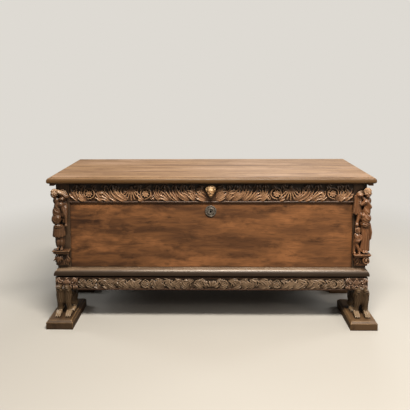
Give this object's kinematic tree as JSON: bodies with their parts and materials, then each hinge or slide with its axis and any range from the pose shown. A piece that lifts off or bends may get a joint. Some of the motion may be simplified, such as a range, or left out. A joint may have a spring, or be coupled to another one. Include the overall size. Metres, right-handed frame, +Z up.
{
  "type": "cassone",
  "caption": "Long carved walnut chest with a hinged flat lid, corner figures, carved friezes, a lock and lion feet on plinths.",
  "frame": {"origin": "on the floor, under the middle of the whole chest's box", "axes": "+X to the viewer's right along the chest's length, +Y from the front to the back, +Z up"},
  "size_m": [1.602, 0.6175, 0.735],
  "materials": {
    "lid_walnut": "worn waxed walnut, dry on top",
    "panel_walnut": "waxed walnut with dark figure",
    "carved_walnut": "carved walnut, dark in the hollows, worn on the high parts",
    "moulding_walnut": "worn walnut moulding",
    "plinth_walnut": "scuffed dark walnut with pale edges",
    "end_walnut": "plain waxed walnut",
    "plain_boards": "sawn boards, unfinished and dusty",
    "wrought_iron": "forged iron, dark and rubbed"
  },
  "bodies": {
    "carcass": {"back_lower_board": "plain_boards", "back_strap_nails": "wrought_iron", "back_upper_board": "plain_boards", "bottom_bearer_left": "plain_boards", "bottom_bearer_middle": "plain_boards", "bottom_bearer_right": "plain_boards", "bottom_front_board": "plain_boards", "bottom_rear_board": "plain_boards", "escutcheon_tacks": "wrought_iron", "front_base_moulding": "moulding_walnut", "front_left_lion_foot": "carved_walnut", "front_left_plinth": "plinth_walnut", "front_mask": "carved_walnut", "front_panel": "panel_walnut", "front_right_lion_foot": "carved_walnut", "front_right_plinth": "plinth_walnut", "keyhole_escutcheon": "wrought_iron", "left_base_moulding": "moulding_walnut", "left_corner_block": "carved_walnut", "left_corner_figure": "carved_walnut", "left_end_frieze_rail": "carved_walnut", "left_end_lower_rail": "carved_walnut", "left_end_panel": "end_walnut", "left_front_stile": "carved_walnut", "left_hinge_back_strap": "wrought_iron", "left_hinge_pin": "wrought_iron", "left_rear_stile": "end_walnut", "lock_case": "wrought_iron", "lower_frieze_rail": "carved_walnut", "rear_left_foot": "plinth_walnut", "rear_left_plinth": "plinth_walnut", "rear_right_foot": "plinth_walnut", "rear_right_plinth": "plinth_walnut", "right_base_moulding": "moulding_walnut", "right_corner_block": "carved_walnut", "right_corner_figure": "carved_walnut", "right_end_frieze_rail": "carved_walnut", "right_end_lower_rail": "carved_walnut", "right_end_panel": "end_walnut", "right_front_stile": "carved_walnut", "right_hinge_back_strap": "wrought_iron", "right_hinge_pin": "wrought_iron", "right_rear_stile": "end_walnut", "upper_frieze_rail": "carved_walnut"},
    "lid": {"lid_front_board": "lid_walnut", "lid_rear_board": "lid_walnut", "left_lid_cleat": "lid_walnut", "right_lid_cleat": "lid_walnut", "left_hinge_lid_strap": "wrought_iron", "right_hinge_lid_strap": "wrought_iron", "lid_strap_nails": "wrought_iron", "lid_staple": "wrought_iron"},
    "bolt": {"lock_bolt": "wrought_iron"}
  },
  "joints": [
    {"name": "lid_hinge", "type": "hinge", "parent": "carcass", "child": "lid", "pos_m": [0, 0.30275, 0.705], "axis": [-1, 0, 0], "range_deg": [0, 100]},
    {"name": "lock_bolt_slide", "type": "slide", "parent": "carcass", "child": "bolt", "axis": [1, 0, 0], "range_m": [0, 0.016]}
  ]
}
